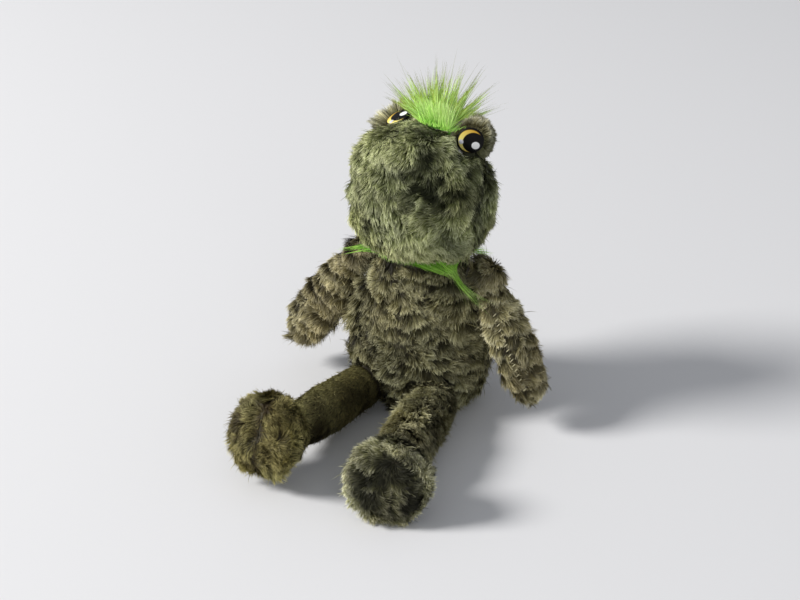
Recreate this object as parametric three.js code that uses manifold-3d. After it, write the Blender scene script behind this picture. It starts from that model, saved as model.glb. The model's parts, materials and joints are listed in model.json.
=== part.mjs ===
// Stuffed plush frog, sitting, face turned up, with a long-haired tuft and neck trim.
// Millimetres, +Z up. The toy sits on z = 0 and faces -Y; its own left is +X.
import * as THREE from 'three';
import { mergeVertices } from 'three/addons/utils/BufferGeometryUtils.js';
import Module from 'manifold-3d';

const wasm = await Module();
wasm.setup();

// Sitting place: the middle of the toy's outline, measured from the torso's axis
const sitMiddle = new THREE.Vector2(-2.27, -53.66);
const floorDip = 0.5;

// Plush and seams
const plushWall = 5;
const seamGap = 0.3;
const fitGap = 0.3;

// Torso, as height, half width and half depth of the plush surface
const torsoKnots = [
  [4, 37.5, 33], [14, 43, 38], [30, 45.5, 40], [46, 44.5, 39], [60, 40.6, 36.5], [72, 37.6, 34.4], [81, 34.8, 32],
];
const torsoBase = [31, 27.5];
const torsoBand = { from: 7, pitch: 9.4, count: 8, depth: 1.1 };
const neckCentre = new THREE.Vector3(0, 2, 88);
const neckDomeRadius = 30;
const torsoSeamDepth = -4;

// Neck trim, a band between polar angles with pointed locks on its hem, and the head's seat on it
const trimInner = neckDomeRadius + 1;
const trimOuter = trimInner + 2.6;
const trimTop = 24;
const trimMiddle = 40;
const trimHem = 65;
const trimLocks = 42;
const trimLock = { reach: 4, tipThick: 1.2 };
const trimFan = { towards: -52, spread: 26, reach: 10 };
const neckSeatRadius = trimOuter + 1;

// Head, a sack on the neck with its face turned up, as height above its centre, half width, half depth and lean
const headCentre = new THREE.Vector3(0, 0, 147);
const headKnots = [
  [-44, 28, 27, 0], [-39.5, 36.5, 35, 0], [-32, 41.2, 39, 0], [-21, 43.6, 41, 0], [-7, 44, 41, 0],
  [5, 42.4, 38.8, -2], [15, 38.5, 34.5, -4], [23, 33, 28.5, -6], [29, 27, 22.5, -8.5], [33.5, 19.5, 16, -11],
  [36, 11.5, 9.5, -12.5],
];
const headEnds = [[-46, 0], [37, -13]];
const headRows = [-44, -40, -33, -22, -10, 1, 8, 14, 20, 25, 29, 33, 36];
const headLiningRows = [-43, -33, -18, -3, 10, 20, 29, 35.5];
const headPower = 2.2;
const muzzle = { place: [-2, -30, 27], push: [0, -0.84, 0.54], height: 6.5, across: 17, tall: 12 };
const mouthFold = { place: [1, -38, 15], push: [0, 0.95, -0.3], height: 5, across: 24, tall: 5.5 };
const headSeamDepth = 5;

// Eye mounds and eyes, from the head's centre; one mound sits higher and further forward, as the toy is sewn
const mounds = {
  left: { place: [27, 9, 25.5], facing: [0.31, -0.91, 0.27] },
  right: { place: [-17, 13, 20.5], facing: [-0.37, -0.24, 0.89] },
};
const moundRadius = 12.6;
const moundWall = 4;
const eyeRadius = 7.9;
const eyeRim = 1.2;
const eyeDome = 0.8;
const eyeSeat = 9.7;

// Hair tuft, from the head's centre
const tuftRoot = new THREE.Vector3(3, 7, 33);
const tuftPad = [12.5, 6.5, 4.5];
const tuftLocks = { across: 7, deep: 4, length: 32, width: 1.5 };

// Arms
const shoulder = new THREE.Vector3(41.5, 3, 88);
const shoulderBall = 11;
const shoulderRing = [shoulderBall + 0.5, shoulderBall + 2];
const shoulderSeat = shoulderRing[1] + 0.7;
const armKnots = [
  [0, shoulderBall, shoulderBall], [7, 10.2, 10], [15, 12.4, 11.2], [25, 14.8, 12.2], [38, 16.2, 12.8],
  [52, 16.2, 12.6], [63, 15.4, 12], [71, 13, 10.4], [77, 9.6, 7.8], [80.5, 5, 4.2],
];
const armEnd = 82;
const armRows = { neck: 8, lining: [14, 32, 52, 68, 77], tip: [72, 77.5, 80.5] };
const armBand = { from: 16, pitch: 10.4, count: 5, depth: 0.9 };
const armPose = {
  left: { along: [0.51, -0.24, -0.82], broad: [0.15, 1, 0] },
  right: { along: [-0.56, -0.11, -0.82], broad: [-0.9, 0.3, 0.3] },
};

// Legs and feet
const hip = new THREE.Vector3(24, -37, 16);
const hipBall = 15;
const hipRing = [hipBall + 0.5, hipBall + 2.2];
const hipSeat = hipRing[1] + 0.8;
const ringSpread = [12, 34];
const ankleAlong = 76;
const ankleBall = 12.5;
const ankleSeat = ankleBall + 1;
const legKnots = [
  [0, hipBall, hipBall], [9, 14.2, 14.2], [20, 15.4, 15.2], [40, 16.2, 15.6], [57, 15.2, 14.8], [68, 13, 13],
  [ankleAlong, ankleBall, ankleBall],
];
const legRows = [9, 20, 40, 58, 69];
const legLiningRows = [12, 40, 66];
const footKnots = [
  [2.5, 12, 12], [6.5, 19, 19], [12, 23.2, 23.2], [19, 25, 25], [25.5, 23.8, 23.8], [30.8, 19.6, 19.6],
  [33.4, 14, 14],
];
const soleHollow = [33.4, 7.5, 7.5];
const footEnds = [0, 32.2];
const footRows = [2.5, 6.5, 12, 19, 25.5, 30.8, 33.4];
const footLiningRows = [2.5, 9, 18, 27, 33.4];
const legPose = {
  left: { along: [0.13, -0.985, 0.05], sole: [0.28, -0.94, 0.2] },
  right: { along: [-0.115, -0.98, 0.105], sole: [-0.2, -0.9, 0.38] },
};

// Squeaker in the belly
const squeakerHeight = 48;
const squeakerBack = -5;
const squeakerRadius = 15;
const pocketRadius = squeakerRadius + 2;
const pocketReach = 1.5 * Math.max(...torsoKnots.map(([, , halfDepth]) => halfDepth));
const squeakerPlate = 2;
const bellowsLength = 16;
const bellowsFolds = 3;
const bellowsWall = 1;
const reedTube = { outer: 4, bore: 2.4, length: 5 };
const reed = { width: 4.4, length: 6.4, thick: 0.5 };

const plush = (color) => new THREE.MeshStandardMaterial({ color, roughness: 0.95, metalness: 0 });
const headPlush = plush(0x6f7351);
const moundPlush = plush(0x8c8a6e);
const bodyPlush = plush(0x49472f);
const armPlush = plush(0x5f5d46);
const legPlush = plush(0x3c3827);
const footPlush = plush(0x504e38);
const neonPlush = plush(0x7cc83c);
const fibre = plush(0xe8e6e0);
const seamThread = plush(0x34322a);
const eyePrint = new THREE.MeshStandardMaterial({ color: 0x101010, roughness: 0.3, metalness: 0 });
const squeakerPlastic = new THREE.MeshStandardMaterial({ color: 0xe4e2da, roughness: 0.4, metalness: 0 });
const reedMetal = new THREE.MeshStandardMaterial({ color: 0xb9b6ae, roughness: 0.35, metalness: 0.8 });

const degrees = THREE.MathUtils.degToRad;

// Closed solids and their geometry
function welded(geometry) {
  const bare = geometry.clone();
  bare.deleteAttribute('normal');
  bare.deleteAttribute('uv');
  return mergeVertices(bare, 1e-4);
}

function solid(geometry) {
  const merged = welded(geometry);
  const vertProperties = new Float32Array(merged.attributes.position.array);
  const triVerts = Uint32Array.from(merged.index.array);
  return new wasm.Manifold(new wasm.Mesh({ numProp: 3, vertProperties, triVerts }));
}

function geometryOf(body) {
  const mesh = body.getMesh();
  const geometry = new THREE.BufferGeometry();
  geometry.setAttribute('position', new THREE.BufferAttribute(new Float32Array(mesh.vertProperties), 3));
  geometry.setIndex(Array.from(mesh.triVerts));
  geometry.computeVertexNormals();
  return geometry;
}

// A loft along Z through rows of [z, half width, half depth, lift]; the first and last rows are points
function loft(rows, sides, power = 2, shape = (p) => p) {
  const points = [];
  const faces = [];
  const last = rows.length - 1;
  const spoke = (value) => Math.sign(value) * Math.abs(value) ** (2 / power);
  rows.forEach(([z, halfWidth, halfDepth, lift = 0], i) => {
    const count = i === 0 || i === last ? 1 : sides;
    for (let j = 0; j < count; j += 1) {
      const turn = (2 * Math.PI * j) / sides;
      const x = count > 1 ? halfWidth * spoke(Math.cos(turn)) : 0;
      const y = count > 1 ? halfDepth * spoke(Math.sin(turn)) : 0;
      points.push(shape(new THREE.Vector3(x, y + lift, z)));
    }
  });
  const at = (i, j) => (i === 0 ? 0 : i === last ? points.length - 1 : 1 + (i - 1) * sides + (j % sides));
  for (let i = 0; i < last; i += 1) {
    for (let j = 0; j < sides; j += 1) {
      if (i > 0) faces.push(at(i, j), at(i, j + 1), at(i + 1, j));
      if (i < last - 1) faces.push(at(i, j + 1), at(i + 1, j + 1), at(i + 1, j));
    }
  }
  const geometry = new THREE.BufferGeometry();
  geometry.setAttribute('position', new THREE.Float32BufferAttribute(points.flatMap((p) => p.toArray()), 3));
  geometry.setIndex(faces);
  return geometry;
}

// The same surface moved inwards by a depth, or outwards by a negative one
function inset(geometry, depth) {
  const moved = geometry.clone();
  moved.computeVertexNormals();
  const normal = moved.attributes.normal;
  const position = moved.attributes.position;
  for (let i = 0; i < position.count; i += 1) {
    const step = new THREE.Vector3().fromBufferAttribute(normal, i).multiplyScalar(-depth);
    position.setXYZ(i, position.getX(i) + step.x, position.getY(i) + step.y, position.getZ(i) + step.z);
  }
  return moved;
}

// Smooth values between knots of [place, value, value, ...]
function between(knots) {
  const size = knots[0].length - 1;
  const places = knots.map((knot) => knot[0]);
  const cubic = new THREE.CubicInterpolant(places, knots.flatMap((knot) => knot.slice(1)), size);
  return (place) => Array.from(cubic.evaluate(place));
}

// Rows over the pile bands: a valley, then a fuller edge that hangs over the next band
function bandRows(profile, band, downwards) {
  const rows = [];
  const crestAt = downwards ? 0.3 : 0.7;
  for (let k = 0; k < band.count; k += 1) {
    for (const [share, swell] of [[0, -0.45], [crestAt, 0.55]]) {
      const place = band.from + (k + share) * band.pitch;
      rows.push([place, ...profile(place).map((value) => value + swell * band.depth)]);
    }
  }
  return rows;
}

const ball = (radius, centre, around = 16, high = 12) => {
  const geometry = new THREE.SphereGeometry(radius, around, high);
  return solid(geometry.rotateX(Math.PI / 2).translate(centre.x, centre.y, centre.z));
};

// A large block whose face lies through a point, on the side that the normal points to
function blockBeyond(point, normal, start) {
  const reach = 400;
  const geometry = new THREE.BoxGeometry(reach, reach, reach).translate(0, 0, reach / 2 + start);
  const turn = new THREE.Quaternion().setFromUnitVectors(new THREE.Vector3(0, 0, 1), normal.clone().normalize());
  return solid(geometry.applyQuaternion(turn).translate(point.x, point.y, point.z));
}

function halves(shell, point, normal) {
  const away = normal.clone().negate();
  return [blockBeyond(point, normal, seamGap / 2), blockBeyond(point, away, seamGap / 2)]
    .map((side) => shell.intersect(side));
}

function cutAll(body, tools) {
  return tools.reduce((rest, tool) => rest.subtract(tool), body);
}

// Plush skin and fibre core of one stuffed form, with a cupped dish for each ball that seats in it
function stuffed(outer, lining, dishes) {
  const cups = dishes.map((dish) => ball(dish.radius + plushWall, dish.centre, 10, 6));
  const seats = dishes.map((dish) => ball(dish.radius, dish.centre, dish.around ?? 14, dish.high ?? 10));
  const coreCuts = dishes.map((dish) => ball(dish.radius + plushWall + fitGap, dish.centre, 10, 6));
  const hollow = cutAll(solid(inset(lining, plushWall)), cups);
  const skin = cutAll(solid(outer).subtract(hollow), seats);
  const core = cutAll(solid(inset(lining, plushWall + fitGap)), coreCuts);
  return { skin, core };
}

const toy = new THREE.Group();
toy.position.set(-sitMiddle.x, -sitMiddle.y, 0);

function piece(name, body, material, parent) {
  const mesh = new THREE.Mesh(geometryOf(body), material);
  mesh.name = name;
  parent.add(mesh);
  return mesh;
}

function frameAt(centre, along, broad) {
  const z = new THREE.Vector3(...along).normalize();
  const x = new THREE.Vector3(...broad).projectOnPlane(z).normalize();
  const group = new THREE.Group();
  group.position.copy(centre);
  group.quaternion.setFromRotationMatrix(new THREE.Matrix4().makeBasis(x, z.clone().cross(x), z));
  toy.add(group);
  group.updateMatrix();
  return group;
}

const inFrame = (group, point) => point.clone().applyMatrix4(group.matrix.clone().invert());
const turnedIn = (group, direction) => direction.clone().applyQuaternion(group.quaternion.clone().invert());
const mirrored = (point, side) => new THREE.Vector3(point.x * side, point.y, point.z);
const floorIn = (group) => blockBeyond(
  inFrame(group, new THREE.Vector3(0, 0, 0)), turnedIn(group, new THREE.Vector3(0, 0, -1)), 0);
const sides = { left: 1, right: -1 };

// Torso: banded pear with a flat seat, a dome for the neck and a dimple for each limb
const torsoWidth = between(torsoKnots);
const onDome = (polar) => {
  const high = neckCentre.z + neckDomeRadius * Math.cos(degrees(polar));
  const out = neckDomeRadius * Math.sin(degrees(polar));
  return [high, out, out];
};
const torsoFloor = [[-floorDip, 0, 0], [-floorDip, ...torsoBase], [4, ...torsoWidth(4)]];
const torsoDome = [88, 70, 54, 38, 20, 0].map(onDome);
const leanBack = (p) => p.setY(p.y + neckCentre.y * THREE.MathUtils.smoothstep(p.z, 60, 86));
const torsoOuter = loft([...torsoFloor, ...bandRows(torsoWidth, torsoBand, true), ...torsoDome], 22, 2, leanBack);
const torsoSmooth = [14, 32, 50, 68].map((z) => [z, ...torsoWidth(z)]);
const torsoLining = loft([...torsoFloor, ...torsoSmooth, ...[88, 62, 36, 0].map(onDome)], 12, 2, leanBack);
const limbDishes = Object.values(sides).flatMap((side) => [
  { centre: mirrored(shoulder, side), radius: shoulderSeat },
  { centre: mirrored(hip, side), radius: hipSeat },
]);
const torso = stuffed(torsoOuter, torsoLining, limbDishes);
const floor = blockBeyond(new THREE.Vector3(), new THREE.Vector3(0, 0, -1), 0);
const torsoSeam = new THREE.Vector3(0, torsoSeamDepth, 0);
const [backPanel, bellyPanel] = halves(torso.skin.subtract(floor), torsoSeam, new THREE.Vector3(0, 1, 0));
piece('belly_panel', bellyPanel, bodyPlush, toy);
piece('back_panel', backPanel, bodyPlush, toy);

// Squeaker, its axis along Y, in a pocket of the stuffing that opens at the belly
const squeakerMiddle = new THREE.Vector3(0, 0, squeakerHeight);
const alongY = (geometry, back) => geometry.translate(0, back, 0).translate(0, squeakerMiddle.y, squeakerMiddle.z);
const turned = (profile, back) => {
  const closed = [...profile, profile[0]].map(([r, y]) => new THREE.Vector2(r, y));
  return solid(alongY(new THREE.LatheGeometry(closed, 16), back));
};
const disc = (radius, from, to) => solid(alongY(
  new THREE.CylinderGeometry(radius, radius, to - from, 20), (from + to) / 2));
const baseFront = squeakerBack - squeakerPlate;
const bellowsFront = baseFront - fitGap - bellowsLength;
const pocket = disc(pocketRadius, -pocketReach, squeakerBack + fitGap);
piece('torso_stuffing', torso.core.subtract(pocket), fibre, toy);
const reedBore = disc(reedTube.bore, -pocketReach, pocketReach);
piece('squeaker_base', disc(squeakerRadius, baseFront, squeakerBack).subtract(reedBore), squeakerPlastic, toy);
const tubeBack = baseFront - fitGap;
const tube = disc(reedTube.outer, tubeBack - reedTube.length, tubeBack).subtract(reedBore);
piece('squeaker_reed_tube', tube, squeakerPlastic, toy);
const reedBox = new THREE.BoxGeometry(reed.width, reed.thick, reed.length);
const reedPlace = tubeBack - reedTube.length - fitGap - reed.thick / 2;
piece('squeaker_reed', solid(alongY(reedBox, reedPlace)), reedMetal, toy);
const foldOuter = [];
const foldInner = [];
for (let k = 0; k <= 2 * bellowsFolds; k += 1) {
  const along = -(bellowsLength * k) / (2 * bellowsFolds);
  const out = k % 2 === 0 ? squeakerRadius - 3.5 : squeakerRadius - 0.5;
  foldOuter.push([out, along]);
  foldInner.unshift([out - bellowsWall, along]);
}
piece('squeaker_bellows', turned([...foldInner, ...foldOuter].reverse(), tubeBack), squeakerPlastic, toy);
const crownBack = bellowsFront - fitGap;
piece('squeaker_crown', disc(squeakerRadius, crownBack - squeakerPlate, crownBack), squeakerPlastic, toy);

// Neck trim: a spherical band whose hem runs out in pointed locks, the longest over the left breast
function lockedTrim() {
  const points = [];
  const faces = [];
  const tip = trimHem + 1;
  const stations = [[trimTop, trimInner], [trimMiddle, trimInner], [trimHem - 2, trimInner], [tip, trimInner],
    [tip, trimInner + trimLock.tipThick], [trimHem - 3, trimOuter], [trimMiddle, trimOuter], [trimTop, trimOuter]];
  for (let j = 0; j < trimLocks; j += 1) {
    const turn = (2 * Math.PI * j) / trimLocks;
    const away = turn - degrees(trimFan.towards);
    const fromFan = Math.atan2(Math.sin(away), Math.cos(away));
    const fan = Math.exp(-((fromFan / degrees(trimFan.spread)) ** 2));
    const hem = trimHem + (j % 2 === 0 ? 0 : trimLock.reach + trimFan.reach * fan);
    stations.forEach(([polar, radius]) => {
      const down = polar === tip ? hem : polar;
      const p = new THREE.Vector3().setFromSphericalCoords(radius, degrees(down), 0);
      const ring = Math.hypot(p.x, p.z);
      points.push(new THREE.Vector3(ring * Math.cos(turn), ring * Math.sin(turn), p.y).add(neckCentre));
    });
  }
  const n = stations.length;
  const at = (j, k) => (j % trimLocks) * n + (k % n);
  for (let j = 0; j < trimLocks; j += 1) {
    for (let k = 0; k < n; k += 1) {
      faces.push(at(j, k), at(j + 1, k), at(j, k + 1), at(j, k + 1), at(j + 1, k), at(j + 1, k + 1));
    }
  }
  const geometry = new THREE.BufferGeometry();
  geometry.setAttribute('position', new THREE.Float32BufferAttribute(points.flatMap((p) => p.toArray()), 3));
  geometry.setIndex(faces);
  return geometry;
}
piece('neck_trim', solid(lockedTrim()), neonPlush, toy);

// Head: lofted up from the neck, with a muzzle pushed out near the top and the mouth fold beneath it
const headFrame = new THREE.Group();
headFrame.position.copy(headCentre);
headFrame.updateMatrix();
toy.add(headFrame);

const pushAt = (p, { place, push, height, across, tall }) => {
  const from = p.clone().sub(new THREE.Vector3(...place));
  const share = Math.exp(-((from.x / across) ** 2) - (from.y ** 2 + from.z ** 2) / tall ** 2);
  return new THREE.Vector3(...push).multiplyScalar(height * share);
};
const headShape = (p) => p.clone().add(pushAt(p, muzzle)).add(pushAt(p, mouthFold));
const headWidth = between(headKnots);
const headRow = (z) => [z, ...headWidth(z)];
const headLoft = (places, count) => loft(
  [[headEnds[0][0], 0, 0, headEnds[0][1]], ...places.map(headRow), [headEnds[1][0], 0, 0, headEnds[1][1]]],
  count, headPower, headShape);
const headOuter = headLoft(headRows, 26);
const headLining = headLoft(headLiningRows, 12);
const neckInHead = inFrame(headFrame, neckCentre);
const head = stuffed(headOuter, headLining, [{ centre: neckInHead, radius: neckSeatRadius, around: 22, high: 16 }]);
const headClear = solid(inset(headOuter, -fitGap));

// Eye mounds: plush caps with their own stuffing, each with a printed eye let into its face
const eyeProfile = [[0, 0], [eyeRadius, 0], [eyeRadius, eyeRim * 0.6], [eyeRadius - 0.6, eyeRim],
  [eyeRadius * 0.5, eyeRim + eyeDome * 0.75], [0, eyeRim + eyeDome]];
let headSkin = head.skin;
for (const [name, { place, facing }] of Object.entries(mounds)) {
  const centre = new THREE.Vector3(...place);
  const towards = new THREE.Quaternion().setFromUnitVectors(
    new THREE.Vector3(0, 1, 0), new THREE.Vector3(...facing).normalize());
  const setInMound = (geometry, out) => solid(geometry.translate(0, out, 0).applyQuaternion(towards)
    .translate(centre.x, centre.y, centre.z));
  const eyeLathe = new THREE.LatheGeometry(eyeProfile.map(([r, y]) => new THREE.Vector2(r, y)), 20);
  const drum = (radius) => new THREE.CylinderGeometry(radius, radius, 12, 20).translate(0, 6, 0);
  const mound = ball(moundRadius, centre, 16, 10).subtract(ball(moundRadius - moundWall, centre, 10, 6))
    .subtract(headClear).subtract(setInMound(drum(eyeRadius + fitGap), eyeSeat));
  piece(`${name}_eye_mound`, mound, moundPlush, headFrame);
  const filling = ball(moundRadius - moundWall - fitGap, centre, 10, 6).subtract(headClear);
  piece(`${name}_mound_stuffing`, filling, fibre, headFrame);
  piece(`${name}_eye`, setInMound(eyeLathe, eyeSeat + fitGap), eyePrint, headFrame);
  headSkin = headSkin.subtract(setInMound(drum(eyeRadius + 2 * fitGap), eyeSeat - fitGap));
}
const headSeam = new THREE.Vector3(0, headSeamDepth, 0);
const [napePanel, facePanel] = halves(headSkin, headSeam, new THREE.Vector3(0, 1, 0));
piece('face_panel', facePanel, headPlush, headFrame);
piece('head_back_panel', napePanel, headPlush, headFrame);
piece('head_stuffing', head.core, fibre, headFrame);

// Hair tuft: pointed locks that fan out of a stitched strip on the crown
const lockGeometry = (from, lean, length, width) => {
  const rows = [[-2, 0, 0], [-2, 1, 1], [0.35, 0.9, 0.8], [0.72, 0.55, 0.5], [1, 0, 0]]
    .map(([share, w, d]) => [share > 0 ? share * length : share, w * width, d * width * 0.8]);
  const turn = new THREE.Quaternion().setFromUnitVectors(new THREE.Vector3(0, 0, 1), lean.clone().normalize());
  return loft(rows, 4).applyQuaternion(turn).translate(from.x, from.y, from.z);
};
const pad = new THREE.SphereGeometry(1, 14, 8).rotateX(Math.PI / 2).scale(...tuftPad)
  .translate(tuftRoot.x, tuftRoot.y, tuftRoot.z);
let tuft = solid(pad);
for (let i = 0; i < tuftLocks.across; i += 1) {
  for (let j = 0; j < tuftLocks.deep; j += 1) {
    const over = (2 * (i + (j % 2) * 0.5)) / (tuftLocks.across - 0.5) - 1;
    const back = (2 * j) / (tuftLocks.deep - 1) - 1;
    const edge = Math.hypot(over, 0.6 * back);
    const from = tuftRoot.clone().add(new THREE.Vector3(over * 10, back * 3.6, 2 - 1.6 * edge));
    const lean = new THREE.Vector3(over * 1.1, 0.3 + back * 0.5, 1.2 - 0.3 * Math.abs(over));
    const length = tuftLocks.length * (1 - 0.15 * edge) * (0.84 + 0.16 * Math.cos(5 * i + 3 * j));
    tuft = tuft.add(solid(lockGeometry(from, lean, length, tuftLocks.width)));
  }
}
piece('hair_tuft', tuft.subtract(headClear), neonPlush, headFrame);

// The sewn ring of a limb: a spherical band round the axis that points into the torso
function seamRing([inner, outer], inwards) {
  const [from, to] = ringSpread;
  const on = (radius, polar) => new THREE.Vector2(
    radius * Math.sin(degrees(polar)), radius * Math.cos(degrees(polar)));
  const middle = (from + to) / 2;
  const profile = [on(inner, from), on(outer, from), on(outer, middle), on(outer, to), on(inner, to), on(inner, middle)];
  const geometry = new THREE.LatheGeometry([...profile, profile[0]].reverse(), 14);
  const turn = new THREE.Quaternion().setFromUnitVectors(new THREE.Vector3(0, 1, 0), inwards);
  return solid(geometry.applyQuaternion(turn));
}

const ballRows = (radius, polars) => polars.map((polar) => {
  const out = radius * Math.sin(degrees(polar));
  return [-radius * Math.cos(degrees(polar)), out, out];
});

for (const [name, side] of Object.entries(sides)) {
  // Arm: a ball at the shoulder, a narrow root and a broad banded paddle, sewn along its front and back
  const root = mirrored(shoulder, side);
  const ring = new THREE.Group();
  ring.position.copy(root);
  toy.add(ring);
  piece(`${name}_shoulder_seam`, seamRing(shoulderRing, new THREE.Vector3(-side, 0, 0)), seamThread, ring);
  const { along, broad } = armPose[name];
  const arm = frameAt(root, along, broad);
  const armWidth = between(armKnots);
  const armRow = (place) => [place, ...armWidth(place)];
  const armStart = ballRows(shoulderBall, [0, 35, 65, 90]);
  const armOuter = loft([...armStart, armRow(armRows.neck), ...bandRows(armWidth, armBand, false),
    ...armRows.tip.map(armRow), [armEnd, 0, 0]], 14);
  const armLining = loft([...armStart, ...armRows.lining.map(armRow), [armEnd, 0, 0]], 8);
  const armBody = stuffed(armOuter, armLining, []);
  const [outer, inner] = halves(armBody.skin, new THREE.Vector3(), new THREE.Vector3(0, 1, 0));
  piece(`${name}_arm_outer_panel`, outer, armPlush, arm);
  piece(`${name}_arm_inner_panel`, inner, armPlush, arm);
  piece(`${name}_arm_stuffing`, armBody.core, fibre, arm);

  // Leg: a smooth tube from the hip ball to the ankle ball
  const legRoot = mirrored(hip, side);
  const hipRingGroup = new THREE.Group();
  hipRingGroup.position.copy(legRoot);
  toy.add(hipRingGroup);
  piece(`${name}_hip_seam`, seamRing(hipRing, new THREE.Vector3(0, 1, 0)), seamThread, hipRingGroup);
  const pose = legPose[name];
  const leg = frameAt(legRoot, pose.along, [side, 0, 0]);
  const legWidth = between(legKnots);
  const legRow = (place) => [place, ...legWidth(place)];
  const legStart = ballRows(hipBall, [0, 30, 60, 90]);
  const legEnd = ballRows(ankleBall, [90, 60, 30, 0]).map(([z, w, d]) => [ankleAlong - z, w, d]);
  const legOuter = loft([...legStart, ...legRows.map(legRow), ...legEnd], 16);
  const legLining = loft([...legStart, ...legLiningRows.map(legRow), ...legEnd], 10);
  const legBody = stuffed(legOuter, legLining, []);
  const [upper, under] = halves(legBody.skin, new THREE.Vector3(), turnedIn(leg, new THREE.Vector3(0, 0, 1)));
  piece(`${name}_leg_upper_panel`, upper, legPlush, leg);
  piece(`${name}_leg_under_panel`, under, legPlush, leg);
  piece(`${name}_leg_stuffing`, legBody.core, fibre, leg);

  // Foot: a round pad with a hollowed sole, sewn down the middle
  const ankle = new THREE.Vector3(0, 0, ankleAlong).applyMatrix4(leg.matrix);
  const foot = frameAt(ankle, pose.sole, [side, 0, 0]);
  const footWidth = between(footKnots);
  const footRow = (place) => [place, ...footWidth(place)];
  const [heel, sole] = footEnds.map((end) => [end, 0, 0]);
  const footOuter = loft([heel, ...footRows.map(footRow), soleHollow, sole], 18);
  const footLining = loft([heel, ...footLiningRows.map(footRow), sole], 12);
  const footBody = stuffed(footOuter, footLining, [{ centre: new THREE.Vector3(), radius: ankleSeat }]);
  const floorHere = floorIn(foot);
  const [outerSide, innerSide] = halves(
    footBody.skin.subtract(floorHere), new THREE.Vector3(), new THREE.Vector3(1, 0, 0));
  piece(`${name}_foot_outer_panel`, outerSide, footPlush, foot);
  piece(`${name}_foot_inner_panel`, innerSide, footPlush, foot);
  piece(`${name}_foot_stuffing`, footBody.core, fibre, foot);
}

export default toy;
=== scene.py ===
import json
import math

import bmesh
import bpy
import numpy as np
from mathutils import Matrix, Vector
from mathutils.bvhtree import BVHTree
from mathutils.kdtree import KDTree


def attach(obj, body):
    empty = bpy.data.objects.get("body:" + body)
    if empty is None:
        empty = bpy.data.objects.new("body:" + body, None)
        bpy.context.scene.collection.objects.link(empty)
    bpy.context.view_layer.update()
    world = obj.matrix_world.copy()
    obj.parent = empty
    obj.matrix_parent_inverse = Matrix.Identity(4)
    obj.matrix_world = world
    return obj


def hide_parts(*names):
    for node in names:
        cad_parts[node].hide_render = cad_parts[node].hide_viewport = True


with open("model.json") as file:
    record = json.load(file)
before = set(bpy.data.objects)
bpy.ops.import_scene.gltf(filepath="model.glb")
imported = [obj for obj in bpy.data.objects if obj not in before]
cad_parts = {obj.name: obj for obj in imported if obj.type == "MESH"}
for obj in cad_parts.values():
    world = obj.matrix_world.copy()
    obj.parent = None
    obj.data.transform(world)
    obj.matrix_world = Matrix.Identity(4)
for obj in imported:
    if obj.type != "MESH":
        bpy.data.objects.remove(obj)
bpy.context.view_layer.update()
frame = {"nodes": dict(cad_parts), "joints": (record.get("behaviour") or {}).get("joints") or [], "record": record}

# The camera stands in front of the toy, round to its left and above it, with a short telephoto lens.
# Its place is set so that the middle of the torso's base falls where the photograph has it.
MM = 0.001
pivots = {joint["name"]: np.array(joint["pos_m"]) for joint in frame["joints"] if "pos_m" in joint}
neck = pivots["neck_nod"]
torso_middle = Vector((neck[0], neck[1] - 2 * MM, 0.0))
turn_round, look_down = math.radians(25), math.radians(28)
away = Vector((
    math.cos(look_down) * math.sin(turn_round),
    -math.cos(look_down) * math.cos(turn_round),
    math.sin(look_down)))
sideways = Vector((math.cos(turn_round), math.sin(turn_round), 0.0))
upwards = away.cross(sideways)


def put(name, data):
    """A new object in the scene."""
    thing = bpy.data.objects.new(name, data)
    bpy.context.scene.collection.objects.link(thing)
    return thing


lens_data = bpy.data.cameras.new("camera")
lens_data.sensor_width = 36.0
lens_data.lens = 67.5
camera = put("camera", lens_data)
camera.matrix_world = Matrix((
    (sideways.x, upwards.x, away.x, 0), (sideways.y, upwards.y, away.y, 0),
    (sideways.z, upwards.z, away.z, 0), (0, 0, 0, 1)))
camera.location = torso_middle + away * 0.960 - sideways * 0.01344 + upwards * 0.05632
bpy.context.scene.camera = camera
bpy.context.scene.view_settings.view_transform = "Standard"


def paint(red, green, blue):
    """A colour as given, 0 to 255, for a shader."""
    shares = [c / 255 for c in (red, green, blue)]
    return tuple(s / 12.92 if s <= 0.04045 else ((s + 0.055) / 1.055) ** 2.4 for s in shares) + (1.0,)


def feed(node, **inputs):
    """Sets sockets of a shader node, each to a value or from another node's output."""
    for name, value in inputs.items():
        socket = node.inputs[name.replace("_", " ")]
        if isinstance(value, bpy.types.NodeSocket):
            node.id_data.links.new(value, socket)
        else:
            socket.default_value = value


def new_finish(name, roughness):
    finish = bpy.data.materials.new(name)
    finish.use_nodes = True
    shader = finish.node_tree.nodes["Principled BSDF"]
    feed(shader, Roughness=roughness)
    return finish, shader


def add(finish, kind, settings=None, **inputs):
    """A new node in a material."""
    node = finish.node_tree.nodes.new("ShaderNode" + kind)
    for name, value in (settings or {}).items():
        setattr(node, name, value)
    feed(node, **inputs)
    return node


# Studio: a plain pale floor, a large soft lamp from the upper left, a weaker one from the right,
# and an even pale room.
def lamp(name, place, size, watts, colour):
    light = bpy.data.lights.new(name, "AREA")
    light.shape = "DISK"
    light.size = size
    light.energy = watts
    light.color = colour
    stand = put(name, light)
    stand.location = place
    aim = torso_middle + Vector((0, 0, 0.1)) - Vector(place)
    stand.rotation_euler = aim.to_track_quat("-Z", "Y").to_euler()


lamp("key_lamp", (-2.9, -1.7, 2.5), 1.3, 196.0, (1.0, 0.985, 0.96))
lamp("fill_lamp", (1.3, -1.6, 0.9), 1.2, 4.5, (0.95, 0.97, 1.0))
room = bpy.data.worlds.new("room")
bpy.context.scene.world = room
room.use_nodes = True
feed(room.node_tree.nodes["Background"], Color=paint(228, 231, 236), Strength=0.44)

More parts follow.
